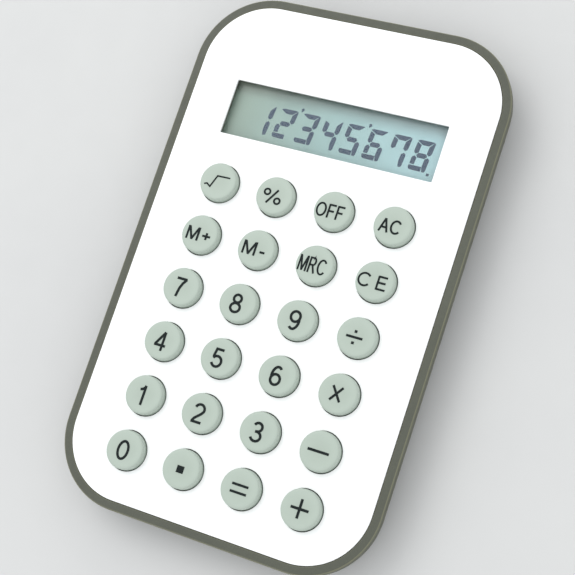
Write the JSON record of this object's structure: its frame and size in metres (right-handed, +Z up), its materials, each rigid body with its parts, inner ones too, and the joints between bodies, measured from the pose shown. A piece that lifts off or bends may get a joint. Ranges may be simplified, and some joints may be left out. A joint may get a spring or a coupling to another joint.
{
  "type": "pocket calculator",
  "caption": "Slim handheld calculator: white rounded face in a dark rim, round sprung keys, display window, curved back with a slide-off battery door.",
  "frame": {"origin": "centre of the case on the surface that the rubber feet stand on", "axes": "+Y from the keys towards the display end, +X to the right of the keys, +Z up out of the face"},
  "size_m": [0.0644, 0.104, 0.0102],
  "materials": {
    "case": "warm dark grey moulded plastic, fine satin texture",
    "face": "smooth satin white",
    "key": "pale sage grey, satin, near-black printed legends",
    "lens": "clear and glossy",
    "film": "grey-green polarising film, satin",
    "glass": "clear glass",
    "reflector": "grey-green reflective film",
    "support": "plain white plastic",
    "elastomer": "layered grey elastomer",
    "board": "green solder mask on laminate",
    "epoxy": "black epoxy blob",
    "ceramic": "fired ceramic, matt",
    "mat": "grey silicone rubber",
    "steel": "bright nickel-plated can",
    "spring_steel": "plated spring strip",
    "screw": "dark plated steel",
    "foot": "black rubber"
  },
  "bodies": {
    "case": {"battery_minus_contact": "spring_steel", "battery_plus_contact": "spring_steel", "button_cell": "steel", "calculator_chip": "epoxy", "case_screw_lower_left": "screw", "case_screw_lower_right": "screw", "case_screw_upper_left": "screw", "case_screw_upper_right": "screw", "circuit_board": "board", "display_lens": "lens", "face_plate": "face", "front_housing": "case", "keypad_mat": "mat", "lcd_contact_strip": "elastomer", "lcd_front_glass": "glass", "lcd_front_polariser": "film", "lcd_rear_glass": "glass", "lcd_reflector": "reflector", "lcd_support": "support", "left_capacitor": "ceramic", "rear_cover": "case", "right_capacitor": "ceramic", "rubber_foot_back_left": "foot", "rubber_foot_back_right": "foot", "rubber_foot_front_left": "foot", "rubber_foot_front_right": "foot", "timing_resistor": "ceramic"},
    "key_0": {"key_0": "key"},
    "key_1": {"key_1": "key"},
    "key_2": {"key_2": "key"},
    "key_3": {"key_3": "key"},
    "key_4": {"key_4": "key"},
    "key_5": {"key_5": "key"},
    "key_6": {"key_6": "key"},
    "key_7": {"key_7": "key"},
    "key_8": {"key_8": "key"},
    "key_9": {"key_9": "key"},
    "key_all_clear": {"key_all_clear": "key"},
    "key_clear_entry": {"key_clear_entry": "key"},
    "key_divide": {"key_divide": "key"},
    "key_equals": {"key_equals": "key"},
    "key_memory_minus": {"key_memory_minus": "key"},
    "key_memory_plus": {"key_memory_plus": "key"},
    "key_memory_recall": {"key_memory_recall": "key"},
    "key_minus": {"key_minus": "key"},
    "key_multiply": {"key_multiply": "key"},
    "key_off": {"key_off": "key"},
    "key_percent": {"key_percent": "key"},
    "key_plus": {"key_plus": "key"},
    "key_point": {"key_point": "key"},
    "key_square_root": {"key_square_root": "key"},
    "battery_door": {"battery_door": "case"}
  },
  "joints": [
    {"name": "key_0_press", "type": "slide", "parent": "case", "child": "key_0", "axis": [0, 0, -1], "range_m": [0, 0.0009], "stiffness_N_per_m": 700, "springref_m": -0.0003},
    {"name": "key_1_press", "type": "slide", "parent": "case", "child": "key_1", "axis": [0, 0, -1], "range_m": [0, 0.0009], "stiffness_N_per_m": 700, "springref_m": -0.0003},
    {"name": "key_2_press", "type": "slide", "parent": "case", "child": "key_2", "axis": [0, 0, -1], "range_m": [0, 0.0009], "stiffness_N_per_m": 700, "springref_m": -0.0003},
    {"name": "key_3_press", "type": "slide", "parent": "case", "child": "key_3", "axis": [0, 0, -1], "range_m": [0, 0.0009], "stiffness_N_per_m": 700, "springref_m": -0.0003},
    {"name": "key_4_press", "type": "slide", "parent": "case", "child": "key_4", "axis": [0, 0, -1], "range_m": [0, 0.0009], "stiffness_N_per_m": 700, "springref_m": -0.0003},
    {"name": "key_5_press", "type": "slide", "parent": "case", "child": "key_5", "axis": [0, 0, -1], "range_m": [0, 0.0009], "stiffness_N_per_m": 700, "springref_m": -0.0003},
    {"name": "key_6_press", "type": "slide", "parent": "case", "child": "key_6", "axis": [0, 0, -1], "range_m": [0, 0.0009], "stiffness_N_per_m": 700, "springref_m": -0.0003},
    {"name": "key_7_press", "type": "slide", "parent": "case", "child": "key_7", "axis": [0, 0, -1], "range_m": [0, 0.0009], "stiffness_N_per_m": 700, "springref_m": -0.0003},
    {"name": "key_8_press", "type": "slide", "parent": "case", "child": "key_8", "axis": [0, 0, -1], "range_m": [0, 0.0009], "stiffness_N_per_m": 700, "springref_m": -0.0003},
    {"name": "key_9_press", "type": "slide", "parent": "case", "child": "key_9", "axis": [0, 0, -1], "range_m": [0, 0.0009], "stiffness_N_per_m": 700, "springref_m": -0.0003},
    {"name": "key_all_clear_press", "type": "slide", "parent": "case", "child": "key_all_clear", "axis": [0, 0, -1], "range_m": [0, 0.0009], "stiffness_N_per_m": 700, "springref_m": -0.0003},
    {"name": "key_clear_entry_press", "type": "slide", "parent": "case", "child": "key_clear_entry", "axis": [0, 0, -1], "range_m": [0, 0.0009], "stiffness_N_per_m": 700, "springref_m": -0.0003},
    {"name": "key_divide_press", "type": "slide", "parent": "case", "child": "key_divide", "axis": [0, 0, -1], "range_m": [0, 0.0009], "stiffness_N_per_m": 700, "springref_m": -0.0003},
    {"name": "key_equals_press", "type": "slide", "parent": "case", "child": "key_equals", "axis": [0, 0, -1], "range_m": [0, 0.0009], "stiffness_N_per_m": 700, "springref_m": -0.0003},
    {"name": "key_memory_minus_press", "type": "slide", "parent": "case", "child": "key_memory_minus", "axis": [0, 0, -1], "range_m": [0, 0.0009], "stiffness_N_per_m": 700, "springref_m": -0.0003},
    {"name": "key_memory_plus_press", "type": "slide", "parent": "case", "child": "key_memory_plus", "axis": [0, 0, -1], "range_m": [0, 0.0009], "stiffness_N_per_m": 700, "springref_m": -0.0003},
    {"name": "key_memory_recall_press", "type": "slide", "parent": "case", "child": "key_memory_recall", "axis": [0, 0, -1], "range_m": [0, 0.0009], "stiffness_N_per_m": 700, "springref_m": -0.0003},
    {"name": "key_minus_press", "type": "slide", "parent": "case", "child": "key_minus", "axis": [0, 0, -1], "range_m": [0, 0.0009], "stiffness_N_per_m": 700, "springref_m": -0.0003},
    {"name": "key_multiply_press", "type": "slide", "parent": "case", "child": "key_multiply", "axis": [0, 0, -1], "range_m": [0, 0.0009], "stiffness_N_per_m": 700, "springref_m": -0.0003},
    {"name": "key_off_press", "type": "slide", "parent": "case", "child": "key_off", "axis": [0, 0, -1], "range_m": [0, 0.0009], "stiffness_N_per_m": 700, "springref_m": -0.0003},
    {"name": "key_percent_press", "type": "slide", "parent": "case", "child": "key_percent", "axis": [0, 0, -1], "range_m": [0, 0.0009], "stiffness_N_per_m": 700, "springref_m": -0.0003},
    {"name": "key_plus_press", "type": "slide", "parent": "case", "child": "key_plus", "axis": [0, 0, -1], "range_m": [0, 0.0009], "stiffness_N_per_m": 700, "springref_m": -0.0003},
    {"name": "key_point_press", "type": "slide", "parent": "case", "child": "key_point", "axis": [0, 0, -1], "range_m": [0, 0.0009], "stiffness_N_per_m": 700, "springref_m": -0.0003},
    {"name": "key_square_root_press", "type": "slide", "parent": "case", "child": "key_square_root", "axis": [0, 0, -1], "range_m": [0, 0.0009], "stiffness_N_per_m": 700, "springref_m": -0.0003},
    {"name": "battery_door_slide", "type": "slide", "parent": "case", "child": "battery_door", "axis": [0, 1, 0], "range_m": [0, 0.022]}
  ]
}
